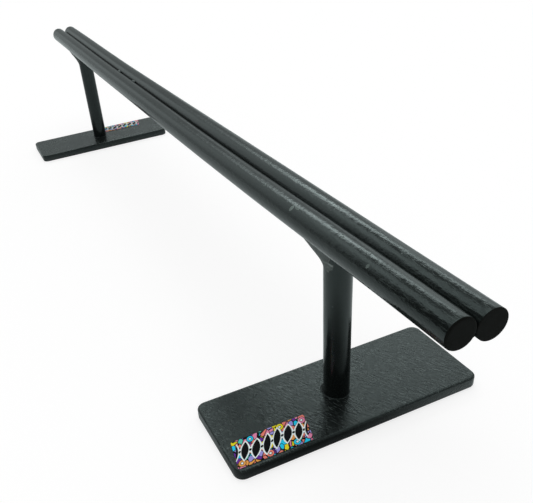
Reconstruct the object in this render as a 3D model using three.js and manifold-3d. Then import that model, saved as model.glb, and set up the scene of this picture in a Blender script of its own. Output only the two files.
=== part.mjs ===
// Miniature grind rail: two round steel bars lie side by side on two posts, and each post stands on
// a flat base plate. Everything is welded into one piece and painted, with a sticker on each plate.
// Millimetres, +Z up. The origin is on the floor under the middle of the rail. +X runs along the bars
// to their near end, and +Y runs across them, so the left bar is the one on the -Y side.

import * as THREE from "three";
import { mergeVertices } from "three/addons/utils/BufferGeometryUtils.js";
import Module from "manifold-3d";

const wasm = await Module();
wasm.setup();

// Rail
const railHeight = 50.8;
const barLength = 315.9;
const barDiameter = 6.5;
const barEndRounding = 0.5;

// Posts, placed by how far the bars run past a post's axis
const postDiameter = 6.5;
const barOverhang = 40.475;

// Base plates
const plateWidth = 25.4;
const plateLength = 66.7;
const plateThickness = 3.2;
const plateCornerRadius = 2.4;
const plateEdgeRounding = 0.6;

// Room between a weld bead, or a post's coped top, and the round steel beside it
const weldClearance = 0.2;

// Weld between a post's top and the bars: its bulk lies on the side away from the near end
const topWeldBackReach = 7.6;
const topWeldFrontReach = 0.8;
const topWeldSideShare = 0.85;
const topWeldRimShare = 0.54;
const topWeldBackDrop = 5.4;
const topWeldFrontDrop = 1.2;
const topWeldToe = 0.15;
const topWeldBulkStarts = THREE.MathUtils.degToRad(52);
const topWeldBulkFull = THREE.MathUtils.degToRad(88);

// Weld round a post's foot, thin in front and thick behind
const footWeldBackWidth = 1.1;
const footWeldFrontWidth = 0.3;
const footWeldBackHeight = 2.4;
const footWeldFrontHeight = 0.6;
const footWeldToe = 0.15;
const footWeldBulkStarts = THREE.MathUtils.degToRad(70);
const footWeldBulkFull = THREE.MathUtils.degToRad(140);

// Seam welds in the groove under the bars, one at each end of the rail
const seamWeldLength = 9;
const seamWeldDiameter = 3;
const seamWeldDepthShare = 0.62;
const seamWeldSetback = 0.15;
const seamWeldEndRounding = 0.8;

// Tack welds in the groove on top of the bars, placed from the far post
const tackLength = 3.2;
const tackDiameter = 2.6;
const tackHeightShare = 0.62;
const firstTackFromFarPost = 68;
const secondTackFromFarPost = 88;

// Stickers, with their short sides slanted. Each is placed by how far its middle line is from a
// plate's end or from a post, and its long side from a plate's long edge.
const stickerLength = 19.4;
const stickerWidth = 8.1;
const stickerThickness = 0.12;
const stickerCornerRadius = 0.35;
const stickerSlant = THREE.MathUtils.degToRad(12);
const nearStickerFromEdge = 1;
const nearStickerFromEnd = 1.65;
const farStickerFromEdge = 1;
const farStickerFromPost = 1.6;

// Faceting
const roundSides = 48;
const roundingSteps = 3;
const weldSides = 48;
const weldCurveSteps = 7;
const beadSides = 24;
const beadCapSteps = 6;
const mergeDistance = 1e-4;

const barRadius = barDiameter / 2;
const postRadius = postDiameter / 2;
const barAxisHeight = railHeight - barRadius;
const barUnderside = railHeight - barDiameter;
const postSpacing = barLength - 2 * barOverhang;

// Finishes
const blackPaint = { color: 0x2b302f, roughness: 0.42, metalness: 0 };
const weldPaint = { color: 0x272b2a, roughness: 0.55, metalness: 0 };
const stickerPrint = { color: 0xf0705c, roughness: 0.35, metalness: 0 };

function solidOf(geometry) {
  const bare = geometry.clone();
  bare.deleteAttribute("normal");
  bare.deleteAttribute("uv");
  const merged = mergeVertices(bare, mergeDistance);
  return new wasm.Manifold(
    new wasm.Mesh({
      numProp: 3,
      vertProperties: merged.attributes.position.array,
      triVerts: new Uint32Array(merged.index.array),
    }),
  );
}

function geometryOf(solid) {
  const mesh = solid.getMesh();
  const geometry = new THREE.BufferGeometry();
  const points = new Float32Array(mesh.numVert * 3);
  for (let i = 0; i < mesh.numVert; i++) {
    points.set(mesh.vertProperties.subarray(i * mesh.numProp, i * mesh.numProp + 3), i * 3);
  }
  geometry.setAttribute("position", new THREE.BufferAttribute(points, 3));
  geometry.setIndex(new THREE.BufferAttribute(mesh.triVerts, 1));
  geometry.computeVertexNormals();
  return geometry;
}

// A round bar of the given radius along X, with its end edges rounded over.
function roundBarGeometry(radius, length, endRounding) {
  const halfLength = length / 2;
  const profile = [new THREE.Vector2(0, -halfLength)];
  for (let step = 0; step <= roundingSteps; step++) {
    const angle = ((step / roundingSteps) * Math.PI) / 2;
    profile.push(
      new THREE.Vector2(
        radius - endRounding * (1 - Math.sin(angle)),
        -halfLength + endRounding * (1 - Math.cos(angle)),
      ),
    );
  }
  const otherEnd = profile.map((point) => new THREE.Vector2(point.x, -point.y)).reverse();
  const geometry = new THREE.LatheGeometry([...profile, ...otherEnd], roundSides);
  return geometry.rotateZ(-Math.PI / 2);
}

// Both bars at their place, thicker by the given room, as one cutter for what is fitted under them.
function barsCutter(room) {
  const reach = barLength + barDiameter;
  const cutters = [-barRadius, barRadius].map((side) =>
    solidOf(
      roundBarGeometry(barRadius + room, reach, barEndRounding).translate(0, side, barAxisHeight),
    ),
  );
  return cutters[0].add(cutters[1]);
}

// The height to which a post's top reaches before the bars are cut out of it.
const copeStock = barAxisHeight;

// A post from the plate's top up into the valley between the bars, its top coped to both of them.
function postGeometry(x) {
  const height = copeStock - plateThickness;
  const rod = new THREE.CylinderGeometry(postRadius, postRadius, height, roundSides)
    .rotateX(Math.PI / 2)
    .translate(x, 0, plateThickness + height / 2);
  return geometryOf(solidOf(rod).subtract(barsCutter(weldClearance)));
}

// A flat plate with round corners, its long side along Y and its edges rounded over.
function plateGeometry(width, length, thickness, cornerRadius, edgeRounding) {
  const x = width / 2;
  const y = length / 2;
  const outline = new THREE.Shape();
  outline.moveTo(x, -y + cornerRadius);
  outline.lineTo(x, y - cornerRadius);
  outline.absarc(x - cornerRadius, y - cornerRadius, cornerRadius, 0, Math.PI / 2);
  outline.lineTo(-x + cornerRadius, y);
  outline.absarc(-x + cornerRadius, y - cornerRadius, cornerRadius, Math.PI / 2, Math.PI);
  outline.lineTo(-x, -y + cornerRadius);
  outline.absarc(-x + cornerRadius, -y + cornerRadius, cornerRadius, Math.PI, 1.5 * Math.PI);
  outline.lineTo(x - cornerRadius, -y);
  outline.absarc(x - cornerRadius, -y + cornerRadius, cornerRadius, 1.5 * Math.PI, 2 * Math.PI);
  const geometry = new THREE.ExtrudeGeometry(outline, {
    depth: thickness - 2 * edgeRounding,
    curveSegments: roundingSteps * 2,
    bevelEnabled: edgeRounding > 0,
    bevelThickness: edgeRounding,
    bevelSize: edgeRounding,
    bevelOffset: -edgeRounding,
    bevelSegments: roundingSteps,
  });
  return geometry.translate(0, 0, edgeRounding);
}

// A closed ring round the Z axis. sectionAt gives its section at an angle as [radius, height] points,
// inner wall first and always as many of them.
function ringGeometry(sectionAt) {
  const points = [];
  const faces = [];
  let count = 0;
  for (let side = 0; side < weldSides; side++) {
    const angle = (side / weldSides) * 2 * Math.PI;
    const section = sectionAt(angle);
    count = section.length;
    for (const [radius, height] of section) {
      points.push(radius * Math.cos(angle), radius * Math.sin(angle), height);
    }
  }
  for (let side = 0; side < weldSides; side++) {
    const next = (side + 1) % weldSides;
    for (let i = 0; i < count; i++) {
      const j = (i + 1) % count;
      const [a, b] = [side * count + i, side * count + j];
      const [c, d] = [next * count + i, next * count + j];
      faces.push(a, b, c, b, d, c);
    }
  }
  const geometry = new THREE.BufferGeometry();
  geometry.setAttribute("position", new THREE.Float32BufferAttribute(points, 3));
  geometry.setIndex(faces);
  return geometry;
}

// 0 on the post's side towards the near end, 1 on the side where the welder laid the bulk.
function bulkAt(angle, starts, full) {
  const fromFront = Math.abs(Math.atan2(Math.sin(angle), Math.cos(angle)));
  return THREE.MathUtils.smoothstep(fromFront, starts, full);
}

// How far from the post's axis the top weld reaches at an angle: an ellipse set back along X.
function topWeldReachAt(angle) {
  const sideReach = topWeldSideShare * (barDiameter - postRadius);
  const halfAlong = postRadius + (topWeldBackReach + topWeldFrontReach) / 2;
  const halfAcross = postRadius + sideReach;
  const middle = (topWeldFrontReach - topWeldBackReach) / 2;
  const along = Math.cos(angle) / halfAlong;
  const across = Math.sin(angle) / halfAcross;
  const square = along * along + across * across;
  const linear = (along * middle) / halfAlong;
  const rest = (middle / halfAlong) ** 2 - 1;
  return (linear + Math.sqrt(linear * linear - square * rest)) / square;
}

// The flared bead under the bars round a post's top, with the bars cut out of it.
function topWeldGeometry(x) {
  const inner = postRadius + weldClearance;
  const rimHeight = barAxisHeight - topWeldRimShare * barRadius;
  const ring = ringGeometry((angle) => {
    const bulk = bulkAt(angle, topWeldBulkStarts, topWeldBulkFull);
    const drop = THREE.MathUtils.lerp(topWeldFrontDrop, topWeldBackDrop, bulk);
    const toeHeight = barUnderside - drop;
    const outer = topWeldReachAt(angle);
    const section = [
      [inner, toeHeight],
      [inner, copeStock],
      [outer, copeStock],
    ];
    for (let step = 0; step <= weldCurveSteps; step++) {
      const rise = 1 - step / weldCurveSteps;
      section.push([
        THREE.MathUtils.lerp(inner + topWeldToe, outer, rise * rise),
        THREE.MathUtils.lerp(toeHeight, rimHeight, rise),
      ]);
    }
    return section;
  });
  return geometryOf(solidOf(ring.translate(x, 0, 0)).subtract(barsCutter(weldClearance)));
}

// The fillet bead on the plate round a post's foot.
function footWeldGeometry(x) {
  const inner = postRadius + weldClearance;
  return ringGeometry((angle) => {
    const bulk = bulkAt(angle, footWeldBulkStarts, footWeldBulkFull);
    const width = THREE.MathUtils.lerp(footWeldFrontWidth, footWeldBackWidth, bulk);
    const height = THREE.MathUtils.lerp(footWeldFrontHeight, footWeldBackHeight, bulk);
    const section = [
      [inner, plateThickness],
      [inner, plateThickness + height],
    ];
    for (let step = 0; step <= weldCurveSteps; step++) {
      const along = ((step / weldCurveSteps) * Math.PI) / 2;
      section.push([
        inner + footWeldToe + (width - footWeldToe) * (1 - Math.cos(along)),
        plateThickness + footWeldToe + (height - footWeldToe) * (1 - Math.sin(along)),
      ]);
    }
    section.push([inner + width, plateThickness]);
    return section;
  }).translate(x, 0, 0);
}

// A bead seated in the groove between the bars: what is left of it once the bars are cut out.
function seated(bead, x, height) {
  return geometryOf(solidOf(bead.translate(x, 0, height)).subtract(barsCutter(weldClearance)));
}

function seamWeldGeometry(end) {
  const middle = barLength / 2 - seamWeldSetback - seamWeldLength / 2;
  const radius = seamWeldDiameter / 2;
  const height = barAxisHeight - seamWeldDepthShare * barRadius + radius;
  const bead = roundBarGeometry(radius, seamWeldLength, seamWeldEndRounding);
  return seated(bead, end * middle, height);
}

function tackGeometry(fromFarPost) {
  const radius = tackDiameter / 2;
  const height = barAxisHeight + tackHeightShare * barRadius - radius;
  const bead = new THREE.CapsuleGeometry(radius, tackLength - tackDiameter, beadCapSteps, beadSides);
  return seated(bead.rotateZ(-Math.PI / 2), fromFarPost - postSpacing / 2, height);
}

function stickerGeometry() {
  const shear = new THREE.Matrix4().makeShear(-Math.tan(stickerSlant), 0, 0, 0, 0, 0);
  return plateGeometry(
    stickerWidth,
    stickerLength,
    stickerThickness,
    stickerCornerRadius,
    0,
  ).applyMatrix4(shear);
}

const rail = new THREE.Group();

function addPiece(name, geometry, finish, parent = rail) {
  const mesh = new THREE.Mesh(geometry, new THREE.MeshStandardMaterial(finish));
  mesh.name = name;
  parent.add(mesh);
  return mesh;
}

for (const [name, side] of [["left_bar", -1], ["right_bar", 1]]) {
  const bar = addPiece(name, roundBarGeometry(barRadius, barLength, barEndRounding), blackPaint);
  bar.position.set(0, side * barRadius, barAxisHeight);
}

for (const [end, side] of [["near", 1], ["far", -1]]) {
  const x = (side * postSpacing) / 2;
  addPiece(`${end}_post`, postGeometry(x), blackPaint);
  addPiece(`${end}_post_top_weld`, topWeldGeometry(x), weldPaint);
  addPiece(`${end}_post_foot_weld`, footWeldGeometry(x), weldPaint);
  addPiece(`${end}_end_seam_weld`, seamWeldGeometry(side), weldPaint);
  const plate = plateGeometry(
    plateWidth,
    plateLength,
    plateThickness,
    plateCornerRadius,
    plateEdgeRounding,
  );
  addPiece(`${end}_base_plate`, plate, blackPaint).position.x = x;
}

addPiece("first_groove_tack", tackGeometry(firstTackFromFarPost), weldPaint);
addPiece("second_groove_tack", tackGeometry(secondTackFromFarPost), weldPaint);

const nearSticker = addPiece("near_sticker", stickerGeometry(), stickerPrint);
nearSticker.position.set(
  postSpacing / 2 + plateWidth / 2 - nearStickerFromEdge - stickerWidth / 2,
  -plateLength / 2 + nearStickerFromEnd + stickerLength / 2,
  plateThickness,
);

const farSticker = addPiece("far_sticker", stickerGeometry(), stickerPrint);
farSticker.position.set(
  -postSpacing / 2 - plateWidth / 2 + farStickerFromEdge + stickerWidth / 2,
  postRadius + farStickerFromPost + stickerLength / 2,
  plateThickness,
);

export default rail;
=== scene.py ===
"""The looks of a miniature grind rail: two round bars on two posts, welded up and painted black.

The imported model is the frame. Every piece here stands for one of its nodes, at the same place and
size, with a smoother mesh and its paint. Lengths are in metres, written as millimetres times MM.
"""

import math

import bmesh
import bpy
from mathutils import Matrix, Vector, noise


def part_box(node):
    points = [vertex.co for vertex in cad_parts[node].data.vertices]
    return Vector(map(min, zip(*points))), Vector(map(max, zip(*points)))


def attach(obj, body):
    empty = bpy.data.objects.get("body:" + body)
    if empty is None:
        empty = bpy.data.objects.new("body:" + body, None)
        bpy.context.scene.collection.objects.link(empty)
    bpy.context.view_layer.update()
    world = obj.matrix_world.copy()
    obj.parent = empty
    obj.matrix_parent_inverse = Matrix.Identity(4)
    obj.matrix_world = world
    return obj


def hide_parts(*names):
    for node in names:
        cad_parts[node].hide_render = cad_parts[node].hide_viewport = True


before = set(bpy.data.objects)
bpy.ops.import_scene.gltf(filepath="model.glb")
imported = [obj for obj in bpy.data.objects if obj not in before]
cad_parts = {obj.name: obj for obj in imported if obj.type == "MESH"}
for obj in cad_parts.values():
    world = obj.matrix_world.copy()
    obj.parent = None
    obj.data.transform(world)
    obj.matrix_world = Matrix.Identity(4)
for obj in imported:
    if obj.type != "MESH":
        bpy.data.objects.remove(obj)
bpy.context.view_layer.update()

MM = 0.001


class Field:
    """An output socket that adds a Math node for each operator used on it, on either side."""

    def __init__(self, nodes, socket):
        self.nodes = nodes
        self.socket = socket

    def maths(self, operation, *values):
        sockets = dict(enumerate(values))
        return self.nodes.add("ShaderNodeMath", {"operation": operation}, sockets).out()

    def __add__(self, other):
        return self.maths("ADD", self, other)

    def __radd__(self, other):
        return self.maths("ADD", other, self)

    def __sub__(self, other):
        return self.maths("SUBTRACT", self, other)

    def __rsub__(self, other):
        return self.maths("SUBTRACT", other, self)

    def __mul__(self, other):
        return self.maths("MULTIPLY", self, other)

    def __rmul__(self, other):
        return self.maths("MULTIPLY", other, self)

    def __truediv__(self, other):
        return self.maths("DIVIDE", self, other)

    def __rtruediv__(self, other):
        return self.maths("DIVIDE", other, self)

    def __neg__(self):
        return self.maths("MULTIPLY", self, -1)

    def __abs__(self):
        return self.maths("ABSOLUTE", self)

    def __pow__(self, other):
        return self.maths("POWER", self, other)

    def below(self, other):
        return self.maths("LESS_THAN", self, other)

    def sway(self, pace, width):
        """A sine wave of the value."""
        return self.maths("SINE", self * pace) * width

    def folded(self, period):
        """How far the value is from the nearest whole number of periods, from 0 to half of one."""
        return self.maths("PINGPONG", self, period / 2)

    def step(self, start, end):
        """0 at start and 1 at end, eased between them."""
        settings = {"interpolation_type": "SMOOTHSTEP"}
        sockets = {"Value": self, "From Min": start, "From Max": end}
        return self.nodes.add("ShaderNodeMapRange", settings, sockets).out()

    def near(self, middle, flat, soft):
        """1 up to flat from the middle, and eased to 0 over the width of the soft edge."""
        return 1 - abs(self - middle).step(flat, flat + soft)

    def heading(self, across):
        """The heading in degrees of a direction that goes this far along, and so far across."""
        return self.maths("ARCTAN2", across, self) * math.degrees(1)

    def rise(self):
        """The height in degrees above the horizon of a direction with this value along Z."""
        return self.maths("ARCSINE", self) * math.degrees(1)


class Step:
    """One node, for reading its outputs."""

    def __init__(self, nodes, node):
        self.nodes = nodes
        self.node = node

    def out(self, which=0):
        return Field(self.nodes, self.node.outputs[which])


class Nodes:
    """The node tree of a material or of the world."""

    def __init__(self, owner):
        owner.use_nodes = True
        self.owner = owner
        self.tree = owner.node_tree
        self.tree.nodes.clear()

    def add(self, kind, settings=None, sockets=None):
        node = self.tree.nodes.new(kind)
        for name, value in (settings or {}).items():
            if name == "stops":
                self.set_stops(node.color_ramp, value)
            else:
                setattr(node, name, value)
        for name, value in (sockets or {}).items():
            if isinstance(value, Field):
                self.tree.links.new(value.socket, node.inputs[name])
            else:
                node.inputs[name].default_value = value
        return Step(self, node)

    def set_stops(self, ramp, stops):
        while len(ramp.elements) < len(stops):
            ramp.elements.new(1)
        for element, (position, colour) in zip(ramp.elements, stops):
            element.position = position
            element.color = colour

    def mix(self, factor, first, second):
        """Two colours, mixed."""
        settings = {"data_type": "RGBA", "clamp_factor": True}
        return self.add("ShaderNodeMix", settings, {0: factor, 6: first, 7: second}).out(2)

    def place(self):
        """The place on the piece in millimetres, as a vector."""
        coordinates = self.add("ShaderNodeTexCoord").out("Object")
        return self.add(
            "ShaderNodeVectorMath", {"operation": "SCALE"}, {0: coordinates, "Scale": 1 / MM}
        ).out()

    def drawn_out(self, vector, turn, stretch):
        """The vector for a pattern that is drawn out by stretch, along axes turned about Z."""
        sockets = {"Vector": vector, "Rotation": (0, 0, turn), "Scale": stretch}
        return self.add("ShaderNodeMapping", {"vector_type": "TEXTURE"}, sockets).out()

    def parts(self, vector):
        split = self.add("ShaderNodeSeparateXYZ", None, {0: vector})
        return [split.out(axis) for axis in "XYZ"]

    def grain(self, vector, cell, detail=2.0, roughness=0.5):
        """Noise around 0.5 with lumps of about the given size."""
        sockets = {"Vector": vector, "Scale": 1 / cell, "Detail": detail, "Roughness": roughness}
        return self.add("ShaderNodeTexNoise", {"noise_dimensions": "3D"}, sockets).out(0)

    def cells(self, vector, size, feature="F1"):
        """A Voronoi pattern with cells of about the given size."""
        sockets = {"Vector": vector, "Scale": 1 / size}
        return self.add("ShaderNodeTexVoronoi", {"feature": feature}, sockets)

    def bump(self, height, depth):
        """A normal from a height between 0 and 1 that stands for the given depth in metres."""
        return self.add("ShaderNodeBump", None, {"Height": height, "Distance": depth}).out()

    def surface(self, sockets):
        shader = self.add("ShaderNodeBsdfPrincipled", None, sockets).out()
        self.add("ShaderNodeOutputMaterial", None, {"Surface": shader})
        return self.owner


def rgb(red, green, blue):
    return (red, green, blue, 1.0)


# Places and sizes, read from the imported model

def size_of(node):
    low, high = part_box(node)
    return high - low


def middle_of(node):
    low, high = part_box(node)
    return (low + high) / 2


BAR_RADIUS = size_of("left_bar").z / 2
BAR_HEIGHT = middle_of("left_bar").z
BARS_FOOT = BAR_HEIGHT - BAR_RADIUS
BAR_SIDES = {name: middle_of(name).y for name in ("left_bar", "right_bar")}
PLATE_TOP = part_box("near_base_plate")[1].z
POST_RADIUS = size_of("near_post").y / 2
POST_PLACES = {end: middle_of(end + "_post").x for end in ("near", "far")}


# Finishes

PAINT_BLACK = rgb(0.0042, 0.0048, 0.0046)
PAINT_BLACK_WORN = rgb(0.0066, 0.0078, 0.0074)
PAINT_SHEEN_TINT = rgb(0.87, 1.0, 0.98)
DUST = rgb(0.16, 0.17, 0.165)
CHIP_AND_GLINT_GREY = rgb(0.17, 0.19, 0.175)
SPATTER_AND_SHEEN_GREY = rgb(0.125, 0.128, 0.12)
STREAK_AND_HIGHLIGHT_GREY = rgb(0.24, 0.25, 0.24)
WELD_DUST_AND_SHEEN = rgb(0.16, 0.165, 0.16)
THIN_PAINT_AND_SPARKLE = rgb(0.08, 0.09, 0.085)
PALER_FOOT_GREY = rgb(0.085, 0.087, 0.088)
SAWN_BLACK = rgb(0.003, 0.003, 0.0024)
SAWN_BLACK_WORN = rgb(0.006, 0.0058, 0.0046)

# Sizes in the paint: a pore's as a share of a lump's, a cloud's in millimetres, and a speck's
# as a share of the room that each speck has. Then how far clouds and specks change the paint.
PORE_SHARE = 0.4
CLOUD_SIZE = 7.0
SPECK_SHARE = 0.03
CLOUD_WEAR = 0.6
SPECK_PALENESS = 0.45
SPECK_ROUGHNESS = 0.3
UNSTRETCHED = (1.0, 1.0, 1.0)


def black_paint(name, turn, stretch, lump, relief, roughness=(0.15, 0.25), fine=0.2, fleck=5.0,
                marks=None):
    """Semi-gloss black paint. Its orange peel has lumps of a size in millimetres, drawn out by
    stretch and turned as the brush left them, and relief is their depth in metres. fine is the
    share of small pores in the relief, and fleck the room in millimetres that each pale speck
    has. marks adds what is on this piece alone to the colour and roughness."""
    nodes = Nodes(bpy.data.materials.new(name))
    place = nodes.place()
    strokes = nodes.drawn_out(place, turn, stretch)
    peel = nodes.grain(strokes, lump, detail=2.0, roughness=0.5)
    pores = nodes.grain(strokes, lump * PORE_SHARE, detail=1.0)
    clouds = nodes.grain(place, CLOUD_SIZE, detail=3.0)
    specks = nodes.cells(place, fleck).out("Distance").below(SPECK_SHARE)
    height = peel * (1 - fine) + pores * fine
    shade = nodes.mix(clouds.step(0.35, 0.7) * CLOUD_WEAR, PAINT_BLACK, PAINT_BLACK_WORN)
    colour = nodes.mix(specks * SPECK_PALENESS, shade, DUST)
    low, high = roughness
    rough = clouds.step(0.3, 0.7) * (high - low) + low + specks * SPECK_ROUGHNESS
    if marks:
        colour, rough = marks(nodes, place, colour, rough)
    return nodes.surface({
        "Base Color": colour,
        "Roughness": rough,
        "Normal": nodes.bump(height, relief),
        "IOR": 1.5,
        "Specular Tint": PAINT_SHEEN_TINT,
    })


# Scuffs on the bars, in millimetres: where along them they start and are full, the same in
# height above the bars' axes, and the width of a scratch, which the stretch makes longer
SCUFFED_LENGTH = (105, 150)
SCUFFED_CROWN = (0.65, 2.25)
SCRATCH_WIDTH = 0.4
SCRATCH_STRETCH = 7.0
SCUFF_PALENESS = 0.3
SCUFF_ROUGHNESS = 0.18

# The size in millimetres of the notches in a chip's edge, and how much they change its reach
NOTCH_SIZE = 0.5
NOTCH_DEPTH = 1.4
CHIP_ROUGHNESS = 0.25

# Chips on the left bar, and one painted glint: place in millimetres, turn about the bar in degrees
# from its top towards -Y, half length and half width in millimetres, and how pale the bared spot
# is. Below 0 it is a blob of paint, and dark.
CHIPS_AND_GLINT = [
    (106.6, 36, 0.5, 0.85, 0.75),
    (108.0, 24, 1.0, 0.3, 0.6),
    (125.2, 14, 0.5, 0.45, 0.5),
    (133.9, 12, 0.35, 0.6, -0.6),
    (135.9, 40, 0.45, 0.55, 0.55),
    # A painted glint: a pale streak along the crown near the tip, where the window's highlight runs
    (155.4, -6, 1.1, 0.2, 0.8),
    (146.2, 33, 0.7, 0.25, 0.35),
    (92.5, 27, 0.5, 0.3, 0.35),
    (81.0, 20, 0.6, 0.25, 0.3),
]


def chipped(nodes, place, colour, rough):
    """Fine scuffs along the crowns of the bars towards the near tip, and small chips on the left
    one, where boards have knocked it. Near its tip there is also a pale streak that is a painted
    glint."""
    along, across, up = nodes.parts(place)
    drawn_out = nodes.drawn_out(place, 0.0, (SCRATCH_STRETCH, 1.0, 1.0))
    scratches = nodes.grain(drawn_out, SCRATCH_WIDTH, detail=3.0, roughness=0.65).step(0.5, 0.68)
    crown = (up - BAR_HEIGHT / MM).step(*SCUFFED_CROWN)
    scuffs = scratches * along.step(*SCUFFED_LENGTH) * crown
    colour = nodes.mix(scuffs * SCUFF_PALENESS, colour, THIN_PAINT_AND_SPARKLE)
    rough = rough + scuffs * SCUFF_ROUGHNESS
    ragged = (nodes.grain(place, NOTCH_SIZE, detail=2.0) - 0.5) * NOTCH_DEPTH
    for x, turn, half_length, half_width, pale in CHIPS_AND_GLINT:
        turn = math.radians(turn)
        y = (BAR_SIDES["left_bar"] - math.sin(turn) * BAR_RADIUS) / MM
        z = (BAR_HEIGHT + math.cos(turn) * BAR_RADIUS) / MM
        reach = ((along - x) / half_length) ** 2 + ((across - y) / half_width) ** 2
        reach = reach + ((up - z) / half_width) ** 2 + ragged
        mask = reach.below(1)
        colour = nodes.mix(mask * abs(pale), colour, CHIP_AND_GLINT_GREY if pale > 0 else PAINT_BLACK)
        rough = rough + mask * CHIP_ROUGHNESS
    return colour, rough


# The pale marks under the near post's top weld, part spatter and part painted highlight where
# its toe catches the light: heights in millimetres, and headings from the post's axis in degrees.
# A band of either is its middle, half its extent and its soft edge. The streak falls, and the
# patch's foot rises to its sides, by this much with each degree.
RAGGED_SIZE = 0.8
STREAK_HEIGHTS = (39.85, 0.12, 0.2)
STREAK_HEADINGS = (-79, 24, 5)
STREAK_FALL = 0.02
PATCH_FOOT = (38.7, 39.05)
PATCH_TOP = (41.4, 41.1)
PATCH_HEADINGS = (-76, 22, 5)
PATCH_MIDDLE = -75
PATCH_RISE = 0.06


def spatter_and_sheen(nodes, place, colour, rough):
    """Pale marks at the toe of the near post's top weld: a streak along the edge of the bead on
    the -Y side, and there a patch that narrows downwards. Both are part spatter under thin paint
    and part painted highlight, where that toe catches the light."""
    along, across, up = nodes.parts(place)
    turn = (along - POST_PLACES["near"] / MM).heading(across)
    ragged = nodes.grain(place, RAGGED_SIZE, detail=3.0) - 0.5
    streak = (up + turn * STREAK_FALL + ragged * 0.5).near(*STREAK_HEIGHTS)
    streak = streak * turn.near(*STREAK_HEADINGS)
    wedge = (up - abs(turn - PATCH_MIDDLE) * PATCH_RISE + ragged * 1.6).step(*PATCH_FOOT)
    patch = wedge * up.step(*PATCH_TOP) * turn.near(*PATCH_HEADINGS)
    # Part spatter, part painted highlight where the toe catches the light
    colour = nodes.mix(patch * (ragged * 1.5 + 0.7), colour, SPATTER_AND_SHEEN_GREY)
    colour = nodes.mix(streak, colour, STREAK_AND_HIGHLIGHT_GREY)
    return colour, rough + patch * 0.2


# Where along Y the pale matt coat on a top weld starts and is full, and the size of its clouds, in
# millimetres. The coat is part dust and part painted sheen, for the light that the bead's -Y side
# catches.
COATED_SIDE = (-0.5, -3.2)
COAT_CLOUD_SIZE = 1.5
COAT_ROUGHNESS = 0.3


def dust_and_sheen(nodes, place, colour, rough):
    """Spatter, and a pale matt coat on the side of a top weld towards -Y: part dust, part painted
    sheen where that side catches the light.
    """
    colour, rough = spatter_and_sheen(nodes, place, colour, rough)
    side = nodes.parts(place)[1].step(*COATED_SIDE)
    cloud = nodes.grain(place, COAT_CLOUD_SIZE, detail=2.0) * 0.5 + 0.5
    # Part dust, part painted sheen on the side towards -Y
    return nodes.mix(side * cloud, colour, WELD_DUST_AND_SHEEN), rough + side * COAT_ROUGHNESS


# The brush's way over the plates, and the width of its marks in millimetres, which the stretch
# makes longer. The marks are pale, partly thin paint and partly a painted sparkle of light, most on
# the upper face. Then, also in millimetres, the size of the patches where the paint is thin, the
# depths below a plate's top at which the upper face starts and is full, and the heights above the
# floor at which the paler foot of its sides does.
BRUSHED = math.radians(23)
STREAK_WIDTH = 0.4
STREAK_STRETCH = 4.5
THIN_PATCH_SIZE = 9.0
UPPER_FACE = (-0.7, -0.2)
PALER_FOOT_HEIGHTS = (2.4, 0.2)
FOOT_PALENESS = 0.6


def brushed(nodes, place, colour, rough):
    """Pale brush marks where the paint is thin, fainter on a plate's sides, their paleness partly a
    painted sparkle of light on the top. The sides are paler towards their foot."""
    strokes = nodes.drawn_out(place, BRUSHED, (STREAK_STRETCH, 1.0, 1.0))
    streaks = nodes.grain(strokes, STREAK_WIDTH, detail=2.0, roughness=0.6).step(0.5, 0.74)
    patchy = nodes.grain(place, THIN_PATCH_SIZE, detail=2.0).step(0.3, 0.7)
    up = nodes.parts(place)[2]
    upper_face = (up - PLATE_TOP / MM).step(*UPPER_FACE)
    streaks = streaks * (upper_face * 0.75 + 0.25)
    # Brush marks: thin paint, and partly a painted sparkle of light
    colour = nodes.mix(streaks * (patchy * 0.6 + 0.35), colour, THIN_PAINT_AND_SPARKLE)
    # The sides are paler towards their foot
    paler_foot = up.step(*PALER_FOOT_HEIGHTS)
    colour = nodes.mix(paler_foot * FOOT_PALENESS, colour, PALER_FOOT_GREY)
    return colour, rough - streaks * 0.05


BAR_PAINT = black_paint(
    "bar_black_paint", 0.0, (2.4, 1.0, 1.0), 0.72, 0.075 * MM, (0.1, 0.17), 0.32, marks=chipped
)
POST_PAINT = black_paint(
    "post_black_paint", 0.0, (1.0, 1.0, 2.5), 0.8, 0.03 * MM, marks=spatter_and_sheen
)
PLATE_PAINT = black_paint(
    "plate_black_paint", BRUSHED, (4.0, 1.0, 1.0), 0.42, 0.13 * MM, (0.2, 0.3), fleck=4.0,
    marks=brushed,
)
TOP_WELD_PAINT = black_paint(
    "top_weld_black_paint", 0.0, UNSTRETCHED, 1.1, 0.16 * MM, (0.26, 0.4), 0.3, marks=dust_and_sheen
)
WELD_PAINT = black_paint(
    "weld_black_paint", 0.0, UNSTRETCHED, 0.9, 0.08 * MM, roughness=(0.2, 0.32)
)


# The width of the blade's marks in millimetres, which the stretch makes longer, and the size of
# the blotches in the coat
SAW_MARK_WIDTH = 0.35
SAW_MARK_STRETCH = 4.0
BLOTCH_SIZE = 1.6


def sawn_end_paint():
    """The thin matt coat on the sawn ends of the bars, with faint marks from the blade."""
    nodes = Nodes(bpy.data.materials.new("sawn_end_paint"))
    place = nodes.place()
    drawn_out = nodes.drawn_out(place, 0.0, (1.0, SAW_MARK_STRETCH, 1.0))
    marks = nodes.grain(drawn_out, SAW_MARK_WIDTH, detail=2.0)
    blotch = nodes.grain(place, BLOTCH_SIZE, detail=3.0)
    return nodes.surface({
        "Base Color": nodes.mix(blotch, SAWN_BLACK, SAWN_BLACK_WORN),
        "Roughness": blotch * 0.2 + 0.6,
        "Normal": nodes.bump(marks * 0.7 + blotch * 0.3, 0.03 * MM),
        "Specular IOR Level": 0.08,
    })


SAWN_END_PAINT = sawn_end_paint()

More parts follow.
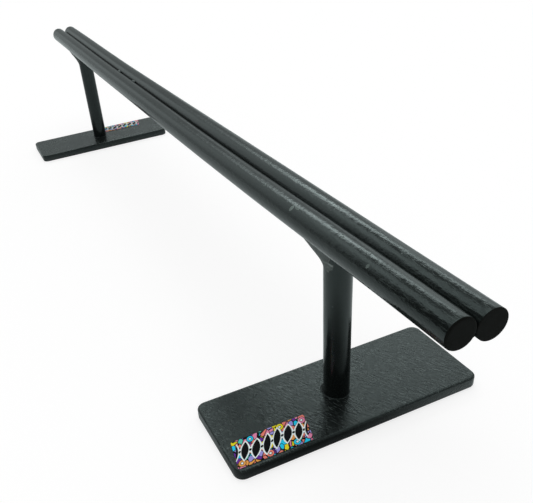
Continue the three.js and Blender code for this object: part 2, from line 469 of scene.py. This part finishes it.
CORAL = rgb(0.95, 0.24, 0.18)
ORANGE = rgb(0.95, 0.38, 0.09)
CYAN = rgb(0.02, 0.65, 0.93)
LILAC = rgb(0.4, 0.33, 0.75)
PURPLE = rgb(0.17, 0.03, 0.36)
YELLOW = rgb(0.95, 0.76, 0.02)
PINK = rgb(0.92, 0.27, 0.45)
MINT = rgb(0.12, 0.62, 0.5)
INK = rgb(0.003, 0.003, 0.004)
WHITE = rgb(0.93, 0.93, 0.92)
PALETTE = [CORAL, CYAN, YELLOW, LILAC, ORANGE, PINK, MINT, CORAL, PURPLE, CYAN]

# The print, in millimetres, on a sticker whose short ends slant. The wobble is how far the cells
# are pushed out of shape and over what size. The discs are given by place along the sticker,
# place across it, radius and colour.
STICKER_SLANT = math.radians(12)
CELL_SIZE = 1.35
WOBBLE = 1.2
WOBBLE_SIZE = 1.5
OUTLINE_SHARE = 0.075
DISC_EDGE = 0.14
DISCS = [
    (-8.4, 2.9, 0.85, ORANGE), (-4.9, -3.0, 0.8, CYAN), (-1.4, 3.2, 0.9, CORAL),
    (2.9, -3.1, 0.9, YELLOW), (5.6, 3.0, 0.85, CYAN), (8.6, -2.6, 0.9, PINK),
]
# Leaves and dots take turns in the row, each with a white edge. The sways are how fast they go
# along the sticker, in radians to the millimetre, and how wide.
LEAF_PITCH = 2.75
LEAF_LEAN = 0.32
LEAF_HALF_WIDTH = 0.95
LEAF_HALF_HEIGHT = 2.55
DOT_RADIUS = 0.34
LEAF_EDGE = 0.42
LEAF_SWAY = (0.7, 0.15)
ROW_SWAY = (0.55, 0.4)
ROW_HALF_LENGTH = 3.4 * LEAF_PITCH


def sticker_print(name, middle):
    """A generic print: a patchwork of bright cells with ink outlines and a few discs, and on it a
    row of solid black leaves and dots edged in white. middle is the middle of the sticker."""
    nodes = Nodes(bpy.data.materials.new(name))
    across, along, _ = nodes.parts(nodes.place())
    across = across - middle.x / MM
    along = along - middle.y / MM + across * math.tan(STICKER_SLANT)
    flat = nodes.add("ShaderNodeCombineXYZ", None, {"X": along, "Y": across}).out()
    wobble = (nodes.grain(flat, WOBBLE_SIZE, detail=1.0) - 0.5) * WOBBLE
    bent = nodes.add(
        "ShaderNodeCombineXYZ", None, {"X": along + wobble, "Y": across - wobble}
    ).out()
    pick = nodes.parts(nodes.cells(bent, CELL_SIZE).out("Color"))[0]
    stops = [(index / len(PALETTE), colour) for index, colour in enumerate(PALETTE)]
    ramp = nodes.add("ShaderNodeValToRGB", {"stops": stops}, {0: pick})
    ramp.node.color_ramp.interpolation = "CONSTANT"
    colour = ramp.out("Color")
    outline = nodes.cells(bent, CELL_SIZE, "DISTANCE_TO_EDGE").out(0).below(OUTLINE_SHARE)
    colour = nodes.mix(outline, colour, INK)
    for centre, side, radius, fill in DISCS:
        reach = ((along - centre) ** 2 + (across - side) ** 2) ** 0.5
        colour = nodes.mix(reach.below(radius + DISC_EDGE), colour, INK)
        for share, ring in ((1.0, fill), (0.5, INK), (0.34, WHITE)):
            colour = nodes.mix(reach.below(radius * share), colour, ring)
    lean = along + across * LEAF_LEAN + along.sway(*LEAF_SWAY)
    lift = across + along.sway(*ROW_SWAY)
    inside = abs(lean).below(ROW_HALF_LENGTH)
    from_leaf = (lean + LEAF_PITCH / 2).folded(LEAF_PITCH)
    from_dot = lean.folded(LEAF_PITCH)
    dot = (from_dot ** 2 + lift ** 2) ** 0.5
    for margin, fill in ((LEAF_EDGE, WHITE), (0.0, INK)):
        leaf = from_leaf / (LEAF_HALF_WIDTH + margin) + (lift / (LEAF_HALF_HEIGHT + margin)) ** 2
        colour = nodes.mix(leaf.below(1) * inside, colour, fill)
        colour = nodes.mix(dot.below(DOT_RADIUS + margin) * inside, colour, fill)
    return nodes.surface({
        "Base Color": colour,
        "Roughness": nodes.grain(flat, 4.0) * 0.15 + 0.4,
        "Normal": nodes.bump(nodes.grain(flat, 2.5), 0.01 * MM),
        "Specular IOR Level": 0.06,
    })


# Faces that meet at more than this have a sharp edge between them
SHARP_ANGLE = math.radians(40)


def add_piece(bm, name, slot, *materials):
    """The bmesh as a finished piece that stands for the node of the same name."""
    bmesh.ops.recalc_face_normals(bm, faces=bm.faces)
    mesh = bpy.data.meshes.new(name + "_painted")
    bm.to_mesh(mesh)
    bm.free()
    for material in materials:
        mesh.materials.append(material)
    for polygon in mesh.polygons:
        polygon.use_smooth = True
    mesh.set_sharp_from_angle(angle=SHARP_ANGLE)
    piece = bpy.data.objects.new(name + "_painted", mesh)
    bpy.context.scene.collection.objects.link(piece)
    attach(piece, "root")
    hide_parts(name)


# Round bars

BAR_SEGMENTS = 96
BAR_CUTS = 260
END_RINGS = 4
END_RING_WIDTH = 0.5 * MM
# A face that leans this far towards X belongs to a sawn end
SAWN_LEAN = 0.3
# How far each bar's ends are rounded over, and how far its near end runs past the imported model's
END_ROUNDINGS = {"left_bar": 0.45 * MM, "right_bar": 0.12 * MM}
NEAR_END_EXTRAS = {"left_bar": 0.4 * MM, "right_bar": 0.25 * MM}
NEAR_END_LENGTH = 0.5 * MM
ROUNDING_SEGMENTS = 5
# How deep the dips in the coat are, how many there are to the metre along a bar and round it, and
# the share of the radius at which the coat starts
PAINT_UNEVENNESS = 0.035 * MM
DIPS_ALONG = 90
DIPS_ROUND = 260
COATED_RADIUS = 0.9
# How the welding has bent the left bar alone, and then both bars towards their far tips
LEFT_BAR_SAG = 0.43 * MM
SAG_MIDDLE = 45 * MM
SAG_REACH = 100 * MM
LEFT_BAR_LIFT = 0.5 * MM
LIFT_START = 80 * MM
FAR_LIFT = 1.2 * MM
FAR_LIFT_START = -40 * MM
FAR_LIFT_END = -165 * MM


def eased(value, start, end):
    share = min(max((value - start) / (end - start), 0), 1)
    return share * share * (3 - 2 * share)


def left_bar_bow(place, near_tip):
    """How far the left bar stands above its true line: welding has drawn it down between the
    posts, and up at the near tip."""
    from_middle = min(abs(place - SAG_MIDDLE) / SAG_REACH, 1)
    sag = LEFT_BAR_SAG * math.cos(from_middle * math.pi / 2) ** 2
    return LEFT_BAR_LIFT * eased(place, LIFT_START, near_tip) - sag


def far_lift(place):
    """How far welding has drawn both bars up towards their far tips."""
    return FAR_LIFT * eased(place, FAR_LIFT_START, FAR_LIFT_END)


def lifted(bm, foot, top):
    """A piece that is carried up with the bars: not at all at its foot, and fully at its top."""
    for vertex in bm.verts:
        vertex.co.z += far_lift(vertex.co.x) * eased(vertex.co.z, foot, top)
    return bm


def round_bar(name):
    """A bar with rounded ends and sawn faces on them, in its uneven coat and bent by the welding.
    The sawn faces get the second material."""
    side = BAR_SIDES[name]
    length = size_of(name).x
    near_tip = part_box(name)[1].x
    bm = bmesh.new()
    bmesh.ops.create_cone(
        bm,
        cap_ends=True,
        segments=BAR_SEGMENTS,
        radius1=BAR_RADIUS,
        radius2=BAR_RADIUS,
        depth=length,
        matrix=Matrix.Translation(middle_of(name)) @ Matrix.Rotation(math.pi / 2, 4, "Y"),
    )
    rims = [e for e in bm.edges if abs(e.verts[0].co.x - e.verts[1].co.x) < length / 2]
    bmesh.ops.bevel(
        bm,
        geom=rims,
        offset=END_ROUNDINGS[name],
        segments=ROUNDING_SEGMENTS,
        profile=0.5,
        affect="EDGES",
        material=-1,
    )
    long_edges = [e for e in bm.edges if e.calc_length() > length / 2]
    bmesh.ops.subdivide_edges(bm, edges=long_edges, cuts=BAR_CUTS, use_grid_fill=True)
    ends = [f for f in bm.faces if len(f.verts) == BAR_SEGMENTS]
    for ring in range(END_RINGS):
        bmesh.ops.inset_region(bm, faces=ends, thickness=END_RING_WIDTH, use_even_offset=True)
    bm.normal_update()
    for face in bm.faces:
        face.material_index = int(abs(face.normal.x) > SAWN_LEAN)
    for vertex in bm.verts:
        radial = Vector((0, vertex.co.y - side, vertex.co.z - BAR_HEIGHT))
        if radial.length > BAR_RADIUS * COATED_RADIUS:
            spot = vertex.co * Vector((DIPS_ALONG, DIPS_ROUND, DIPS_ROUND))
            sink = (0.5 + 0.5 * noise.noise(spot)) * PAINT_UNEVENNESS
            vertex.co -= radial.normalized() * sink
        if vertex.co.x > near_tip - NEAR_END_LENGTH:
            vertex.co.x += NEAR_END_EXTRAS[name]
        if name == "left_bar":
            vertex.co.z += left_bar_bow(vertex.co.x, near_tip)
        vertex.co.z += far_lift(vertex.co.x)
    return bm


for name in BAR_SIDES:
    add_piece(round_bar(name), name, "black_paint", BAR_PAINT, SAWN_END_PAINT)


# Posts, coped to the undersides of the bars

LID_RINGS = 8
WALL_RINGS = 40
MERGED = 0.001 * MM


def bars_underside(across):
    """The height of the bars' underside at a distance from the plane between them."""
    from_axis = min(abs(across) - BAR_RADIUS, BAR_RADIUS)
    return BAR_HEIGHT - math.sqrt(max(BAR_RADIUS ** 2 - from_axis ** 2, 0))


def spun(bm, steps):
    """Spins all edges of the bmesh about Z into a closed skin."""
    bmesh.ops.spin(
        bm,
        geom=bm.verts[:] + bm.edges[:],
        cent=(0, 0, 0),
        axis=(0, 0, 1),
        angle=2 * math.pi,
        steps=steps,
        use_merge=True,
    )


def post(place):
    """A post at a place along X: a spun profile, its top laid against the bars."""
    bm = bmesh.new()
    start = bm.verts.new((0, 0, PLATE_TOP))
    edge = bm.verts.new((POST_RADIUS, 0, PLATE_TOP))
    top = bm.verts.new((POST_RADIUS, 0, BARS_FOOT))
    middle = bm.verts.new((0, 0, BARS_FOOT))
    bm.edges.new((start, edge))
    wall = bm.edges.new((edge, top))
    lid = bm.edges.new((top, middle))
    bmesh.ops.subdivide_edges(bm, edges=[lid], cuts=LID_RINGS)
    bmesh.ops.subdivide_edges(bm, edges=[wall], cuts=WALL_RINGS)
    spun(bm, BAR_SEGMENTS)
    bmesh.ops.remove_doubles(bm, verts=bm.verts, dist=MERGED)
    for vertex in bm.verts:
        if vertex.co.z > BARS_FOOT - MERGED:
            vertex.co.z = bars_underside(vertex.co.y)
    bmesh.ops.translate(bm, verts=bm.verts, vec=(place, 0, 0))
    return bm


for end, place in POST_PLACES.items():
    coped = lifted(post(place), PLATE_TOP, BARS_FOOT)
    add_piece(coped, end + "_post", "black_paint", POST_PAINT)


# Weld beads round the posts. The front of a bead is towards the near end of the rail, and its
# back, which has most of the metal, towards the far end.

WELD_STEPS = 144
SKIRT_STEPS = 22
# How far a top weld reaches out from the post and drops below the bars, how far its rim lies
# below their axes, and how full its sides are, from 0 to 1
TOP_BACK_REACH = 7.6 * MM
TOP_FRONT_REACH = 0.8 * MM
TOP_SIDE_REACH = 0.85 * (2 * BAR_RADIUS - POST_RADIUS)
TOP_BACK_DROP = 5.4 * MM
TOP_FRONT_DROP = 1.2 * MM
TOP_RIM_DEPTH = 0.54 * BAR_RADIUS
TOP_SIDE_FULLNESS = 0.8
# The width and height of a foot weld
FOOT_BACK = (1.2 * MM, 2.4 * MM)
FOOT_FRONT = (0.22 * MM, 0.6 * MM)
# How far round from the front the bulk of the metal starts and is full
TOP_BULK = (math.radians(52), math.radians(88))
FOOT_BULK = (math.radians(70), math.radians(140))
# How far a bead is sunk into the steel, and how far its thin toe stands off the post
SUNK = 0.12 * MM
TOE_HEIGHT = 0.02 * MM
# The depth of the lumps and ripples together and the lumps' share of it, the lumps to the
# millimetre up a bead and to the post's radius across it, the ripples round it, and how far, in
# radians, they stray from an even pace
TOP_ROUGHNESS = 0.12 * MM
FOOT_ROUGHNESS = 0.2 * MM
LUMP_SHARE = 0.7
LUMPS_UP = 0.8
LUMPS_ACROSS = 3.1
RIPPLES = 26
RIPPLES_STRAY = 3


def blended(first, second, share):
    return first + (second - first) * share


def bulk_at(angle, limits):
    """0 at the front of a bead, and 1 at its back, which has most of the metal."""
    from_front = abs(math.atan2(math.sin(angle), math.cos(angle)))
    return eased(from_front, *limits)


def top_reach_at(angle):
    """How far the top weld reaches from the post's axis: an ellipse set back along X."""
    half_along = POST_RADIUS + (TOP_BACK_REACH + TOP_FRONT_REACH) / 2
    half_across = POST_RADIUS + TOP_SIDE_REACH
    middle = (TOP_FRONT_REACH - TOP_BACK_REACH) / 2
    along = math.cos(angle) / half_along
    across = math.sin(angle) / half_across
    square = along * along + across * across
    linear = along * middle / half_along
    rest = (middle / half_along) ** 2 - 1
    return (linear + math.sqrt(linear * linear - square * rest)) / square


def spun_strip(points):
    """A strip of edges through (radius, height) points, spun about Z into a skin whose vertices
    keep their number along the strip."""
    bm = bmesh.new()
    mark = bm.verts.layers.int.new("strip")
    made = [bm.verts.new((radius, 0, height)) for radius, height in points]
    for first, second in zip(made, made[1:]):
        bm.edges.new((first, second))
    for index, vertex in enumerate(made):
        vertex[mark] = index
    spun(bm, WELD_STEPS)
    return bm, mark


def weld_ring(place, section_at, roughness):
    """A closed bead round a post: section_at gives its (radius, height) points at an angle, of
    which the first two lie in the post."""
    points = section_at(0)
    bm, mark = spun_strip(points + points[:1])
    for vertex in bm.verts:
        angle = math.atan2(vertex.co.y, vertex.co.x)
        number = vertex[mark] % len(points)
        radius, height = section_at(angle)[number]
        if number > 1:
            radius = rippled(angle, radius, height, roughness)
        vertex.co = Vector((radius * math.cos(angle), radius * math.sin(angle), height))
    bmesh.ops.remove_doubles(bm, verts=bm.verts, dist=MERGED / 2)
    bmesh.ops.translate(bm, verts=bm.verts, vec=(place, 0, 0))
    return bm


def top_section_at(angle):
    inner = POST_RADIUS - SUNK
    toe = BARS_FOOT - blended(TOP_FRONT_DROP, TOP_BACK_DROP, bulk_at(angle, TOP_BULK))
    rim = BAR_HEIGHT - TOP_RIM_DEPTH
    outer = top_reach_at(angle)
    full = TOP_SIDE_FULLNESS * math.sin(angle) ** 2
    section = [(inner, toe), (inner, BAR_HEIGHT - SUNK), (outer, BAR_HEIGHT - SUNK)]
    for step in range(SKIRT_STEPS + 1):
        rise = 1 - step / SKIRT_STEPS
        flare = blended(rise * rise, eased(rise, 0, 1), full)
        section.append((
            blended(POST_RADIUS + TOE_HEIGHT, outer, flare),
            blended(toe, rim, rise),
        ))
    return section


def foot_section_at(angle):
    bulk = bulk_at(angle, FOOT_BULK)
    width = blended(FOOT_FRONT[0], FOOT_BACK[0], bulk)
    height = blended(FOOT_FRONT[1], FOOT_BACK[1], bulk)
    inner = POST_RADIUS - SUNK
    section = [(inner, PLATE_TOP), (inner, PLATE_TOP + height)]
    for step in range(SKIRT_STEPS + 1):
        along = step / SKIRT_STEPS * math.pi / 2
        section.append((
            POST_RADIUS + TOE_HEIGHT + width * (1 - math.cos(along)),
            PLATE_TOP + height * (1 - math.sin(along)),
        ))
    return section


def rippled(angle, radius, height, roughness):
    """The radius with the small lumps and ripples of weld metal, which only ever sink into the
    bead's outline."""
    spot = Vector((
        math.cos(angle) * LUMPS_ACROSS, math.sin(angle) * LUMPS_ACROSS, height / MM * LUMPS_UP
    ))
    lump = 0.5 + 0.5 * noise.noise(spot)
    ripple = 0.5 + 0.5 * math.sin(angle * RIPPLES + RIPPLES_STRAY * noise.noise(spot * 0.7))
    sink = roughness * blended(ripple, lump, LUMP_SHARE)
    return max(radius - sink, POST_RADIUS - SUNK / 2)


for end, place in POST_PLACES.items():
    top = weld_ring(place, top_section_at, TOP_ROUGHNESS)
    lifted(top, PLATE_TOP, BARS_FOOT - TOP_BACK_DROP)
    add_piece(top, end + "_post_top_weld", "weld_paint", TOP_WELD_PAINT)
    foot = weld_ring(place, foot_section_at, FOOT_ROUGHNESS)
    add_piece(foot, end + "_post_foot_weld", "weld_paint", WELD_PAINT)


# Beads in the grooves between the bars: seam welds below, which were sawn off with the bars, and
# tack welds on top

# How far a bead's radius goes past its node's, the share of it that the lumps leave out, and
# the lumps to the millimetre of length and to the radius across
BEAD_EXTRA = 0.15 * MM
BEAD_LUMPS = 0.14
BEAD_LUMPS_ALONG = 1.2
BEAD_LUMPS_ACROSS = 2
# How pointed the ends of a bead are, from 0 for a rod to 1 for an egg
SEAM_POINT = 0.25
TACK_POINT = 0.8
# A face that leans this far towards X belongs to a seam weld's sawn end
SAWN_SEAM_LEAN = 0.6


def groove_bead(node, point):
    """A long bead in a groove, with its outermost side where the node's is."""
    low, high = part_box(node)
    middle = middle_of(node)
    length = size_of(node).x
    radius = size_of(node).y / 2 + BEAD_EXTRA
    bm = bmesh.new()
    bmesh.ops.create_uvsphere(bm, u_segments=48, v_segments=32, radius=1)
    lumps = Vector((length / MM / 2 * BEAD_LUMPS_ALONG, BEAD_LUMPS_ACROSS, BEAD_LUMPS_ACROSS))
    for vertex in bm.verts:
        lump = 1 - BEAD_LUMPS * (0.5 + 0.5 * noise.noise(vertex.co * lumps))
        along = math.copysign(abs(vertex.co.x) ** point, vertex.co.x)
        vertex.co = Vector((
            along * length / 2,
            vertex.co.y * radius * lump,
            vertex.co.z * radius * lump,
        ))
    axis_height = high.z - radius if middle.z > BAR_HEIGHT else low.z + radius
    bmesh.ops.translate(bm, verts=bm.verts, vec=(middle.x, 0, axis_height))
    return lifted(bm, PLATE_TOP, BARS_FOOT)


for node in ("near_end_seam_weld", "far_end_seam_weld"):
    seam = groove_bead(node, SEAM_POINT)
    seam.normal_update()
    for face in seam.faces:
        face.material_index = int(abs(face.normal.x) > SAWN_SEAM_LEAN)
    add_piece(seam, node, "weld_paint", WELD_PAINT, SAWN_END_PAINT)

for node in ("first_groove_tack", "second_groove_tack"):
    add_piece(groove_bead(node, TACK_POINT), node, "weld_paint", WELD_PAINT)


# Base plates and stickers

PLATE_CORNER = 2.4 * MM
PLATE_CORNER_SEGMENTS = 12
PLATE_EDGE = 0.6 * MM
STICKER_CORNER = 0.35 * MM
STICKER_CORNER_SEGMENTS = 6
STICKER_EDGE = 0.03 * MM
EDGE_SEGMENTS = 5
# A face that leans this far towards Z is an upper or a lower one
FLAT_LEAN = 0.9


def flat_plate(middle, size, corner, corner_segments, edge):
    """A plate with round corners and rounded upper and lower edges."""
    bm = bmesh.new()
    bmesh.ops.create_cube(bm, size=1)
    bmesh.ops.scale(bm, verts=bm.verts, vec=size)
    bmesh.ops.translate(bm, verts=bm.verts, vec=middle)
    upright = [e for e in bm.edges if abs(e.verts[0].co.z - e.verts[1].co.z) > size.z / 2]
    bmesh.ops.bevel(
        bm,
        geom=upright,
        offset=corner,
        segments=corner_segments,
        profile=0.5,
        affect="EDGES",
        material=-1,
    )
    rims = [e for e in bm.edges if any(abs(f.normal.z) > FLAT_LEAN for f in e.link_faces)]
    bmesh.ops.bevel(
        bm,
        geom=rims,
        offset=edge,
        segments=EDGE_SEGMENTS,
        profile=0.5,
        affect="EDGES",
        material=-1,
    )
    broad = [f for f in bm.faces if f.calc_area() > size.x * size.y / 2]
    bmesh.ops.inset_region(bm, faces=broad, thickness=edge / 2, use_even_offset=True)
    return bm


def slanted_sticker(node):
    """A sticker with the node's size, its two short ends cut on the slant."""
    middle = middle_of(node)
    size = size_of(node)
    slope = math.tan(STICKER_SLANT)
    size.y -= size.x * slope
    bm = flat_plate(middle, size, STICKER_CORNER, STICKER_CORNER_SEGMENTS, STICKER_EDGE)
    for vertex in bm.verts:
        vertex.co.y -= slope * (vertex.co.x - middle.x)
    return bm


for end in ("near", "far"):
    name = end + "_base_plate"
    plate = flat_plate(
        middle_of(name), size_of(name), PLATE_CORNER, PLATE_CORNER_SEGMENTS, PLATE_EDGE
    )
    add_piece(plate, name, "black_paint", PLATE_PAINT)
    name = end + "_sticker"
    artwork = sticker_print(name + "_print", middle_of(name))
    add_piece(slanted_sticker(name), name, "sticker_print", artwork)


# Floor, light and camera

FLOOR_SIZE = 6.0
FLOOR_GAP = 0.02 * MM
# The floor that the rail reflects, with painted light and a painted shadow: its greys at the far
# and at the near end, paler where more light falls, and where along X they meet, and the painted
# shadow, standing for the viewer's, with its middle and the radii of its edge, in millimetres
FAR_FLOOR_PAINTED_LIGHT = rgb(0.7, 0.7, 0.7)
NEAR_FLOOR_PAINTED_LIGHT = rgb(0.92, 0.92, 0.92)
FLOOR_BLEND = (-40, 100)
PAINTED_FLOOR_SHADOW = rgb(0.15, 0.15, 0.15)
SHADOW_MIDDLE = (134, -14)
SHADOW_EDGE = (6, 46)
# The floor that the camera sees
SEEN_FLOOR_SHADE = rgb(0.355, 0.32, 0.32)
SEEN_FLOOR_GLOW = rgb(0.74, 0.74, 0.74)


def studio_floor():
    """A white floor. The camera sees it with a fainter shadow than the rail's own reflections do.
    Those reflections also see a painted shadow, standing for the viewer's, in front of the near
    post, and painted light that makes the floor paler towards the near end."""
    bm = bmesh.new()
    bmesh.ops.create_grid(bm, x_segments=1, y_segments=1, size=FLOOR_SIZE / 2)
    bmesh.ops.translate(bm, verts=bm.verts, vec=(0, 0, -FLOOR_GAP))
    mesh = bpy.data.meshes.new("studio_floor")
    bm.to_mesh(mesh)
    bm.free()
    nodes = Nodes(bpy.data.materials.new("studio_floor"))
    seen = nodes.add("ShaderNodeLightPath").out("Is Camera Ray")
    along, across, _ = nodes.parts(nodes.place())
    away = ((along - SHADOW_MIDDLE[0]) ** 2 + (across - SHADOW_MIDDLE[1]) ** 2) ** 0.5
    # Painted light, paler towards the near end, and a painted shadow before the near post
    lit = nodes.mix(along.step(*FLOOR_BLEND), FAR_FLOOR_PAINTED_LIGHT, NEAR_FLOOR_PAINTED_LIGHT)
    shade = nodes.mix(away.step(*SHADOW_EDGE), PAINTED_FLOOR_SHADOW, lit)
    mesh.materials.append(nodes.surface({
        "Base Color": nodes.mix(seen, shade, SEEN_FLOOR_SHADE),
        "Roughness": 1.0,
        "Specular IOR Level": 0.0,
        "Emission Color": nodes.mix(seen, rgb(0, 0, 0), SEEN_FLOOR_GLOW),
        "Emission Strength": 1.0,
    }))
    floor = bpy.data.objects.new("studio_floor", mesh)
    bpy.context.scene.collection.objects.link(floor)


# The room's brightness by the sine of the height above the horizon, halved
ROOM_LEVELS = [
    (0.0, 0.235), (0.17, 0.22), (0.34, 0.26), (0.45, 0.31), (0.56, 0.37), (0.64, 0.34),
    (0.71, 0.27), (0.79, 0.26), (0.87, 0.5), (0.97, 0.95), (1.0, 0.95),
]

# From here on, a swing is a heading from -X towards -Y, a height is above the horizon, and both
# are in degrees.

# Where the dimmer part of the room starts and is full, which is in front of the rail and below
# the ceiling, and the share by which it is dimmer
DIM_SWINGS = (65, 115)
DIM_HEIGHTS = (75, 45)
DIMMED = 0.45

# Soft-edged panels behind the rail: the swing of the middle, half the flat extent and the width
# of the soft edge, the same for the height, and then the brightness that the panel adds, or the
# share that it takes away
PANELS = [
    ((-28, 20, 12), (35, 5, 6), 0.35),
    ((22, 16, 8), (46, 7, 4), 0.6),
    ((24, 14, 10), (28, 12, 8), 0.16),
    ((-52, 8, 6), (20, 5, 14), 0.4),
    ((-25, 5, 5), (33.5, 1, 2.5), 1.9),
]
SHADES = [
    ((-20, 20, 8), (47, 4, 3), 0.35),
    ((-9, 11, 8), (12, 10, 8), 0.38),
    ((-40, 12, 6), (36, 3, 3.5), 0.35),
]

# A dark doorway in the same terms, and how far it leans with the height
DOORWAY = ((69, 16, 16), (22, 14, 10), 0.85)
DOORWAY_LEAN = 0.25

# The strip window, an arch: the swing of its crown, its height there in the terms of a panel,
# how fast it sinks with the square of the swing from its crown, and where each end of it starts
# and is full. Left is towards -Y.
WINDOW_CROWN = -26
WINDOW_HEIGHT = (36.8, 1.5, 3.5)
WINDOW_SINKS_LEFT = 0.0025
WINDOW_SINKS_RIGHT = 0.011
WINDOW_LEFT_END = (4, -12)
WINDOW_RIGHT_END = (-64, -30)
WINDOW_GLOW = 2.4

ROOM_TINT = (0.93, 1.035, 1.035)


def studio_world():
    """A plain room with a strip window and paler walls behind the rail, dimmer in front of it.
    The camera itself sees plain white."""
    world = bpy.data.worlds.new("studio")
    bpy.context.scene.world = world
    nodes = Nodes(world)
    along, across, up = nodes.parts(nodes.add("ShaderNodeTexCoord").out("Generated"))
    stops = [(sine, rgb(level, level, level)) for sine, level in ROOM_LEVELS]
    room = nodes.parts(nodes.add("ShaderNodeValToRGB", {"stops": stops}, {0: up}).out("Color"))[0]
    swing = (-along).heading(-across)
    height = up.rise()
    dim = abs(swing).step(*DIM_SWINGS) * height.step(*DIM_HEIGHTS)
    level = room * 2 * (1 - dim * DIMMED)
    swings, heights, takes = DOORWAY
    doorway = (swing + height * DOORWAY_LEAN).near(*swings) * height.near(*heights)
    level = level * (1 - doorway * takes)
    for swings, heights, takes in SHADES:
        level = level * (1 - swing.near(*swings) * height.near(*heights) * takes)
    for swings, heights, adds in PANELS:
        level = level + swing.near(*swings) * height.near(*heights) * adds
    turned = swing - WINDOW_CROWN
    sinks = turned.below(0) * (WINDOW_SINKS_RIGHT - WINDOW_SINKS_LEFT) + WINDOW_SINKS_LEFT
    window = (height + sinks * turned ** 2).near(*WINDOW_HEIGHT)
    window = window * swing.step(*WINDOW_RIGHT_END) * swing.step(*WINDOW_LEFT_END)
    level = level + window * WINDOW_GLOW
    tinted = {axis: level * share for axis, share in zip("XYZ", ROOM_TINT)}
    colour = nodes.add("ShaderNodeCombineXYZ", None, tinted).out()
    seen = nodes.add("ShaderNodeLightPath").out("Is Camera Ray")
    shown = nodes.mix(seen, colour, rgb(1, 1, 1))
    background = nodes.add("ShaderNodeBackground", None, {"Color": shown, "Strength": 1.0}).out()
    nodes.add("ShaderNodeOutputWorld", None, {"Surface": background})


studio_floor()
studio_world()

CAMERA_PLACE = Vector((0.21897, -0.06519, 0.11091))
CAMERA_HEADING = math.radians(70.243)
CAMERA_TILT = math.radians(55.448)
CAMERA_ROLL = math.radians(-6.565)


def photo_camera():
    data = bpy.data.cameras.new("photo_camera")
    data.sensor_width = 36
    data.lens = 42.652
    data.shift_x = 0.08947
    data.shift_y = 0.11913
    data.clip_start = 0.005
    data.clip_end = 50
    data.dof.use_dof = False
    camera = bpy.data.objects.new("photo_camera", data)
    turn = (
        Matrix.Rotation(CAMERA_HEADING, 4, "Z")
        @ Matrix.Rotation(CAMERA_TILT, 4, "X")
        @ Matrix.Rotation(CAMERA_ROLL, 4, "Z")
    )
    camera.matrix_world = Matrix.Translation(CAMERA_PLACE) @ turn
    bpy.context.scene.collection.objects.link(camera)
    bpy.context.scene.camera = camera


photo_camera()
bpy.context.scene.view_settings.view_transform = "Standard"
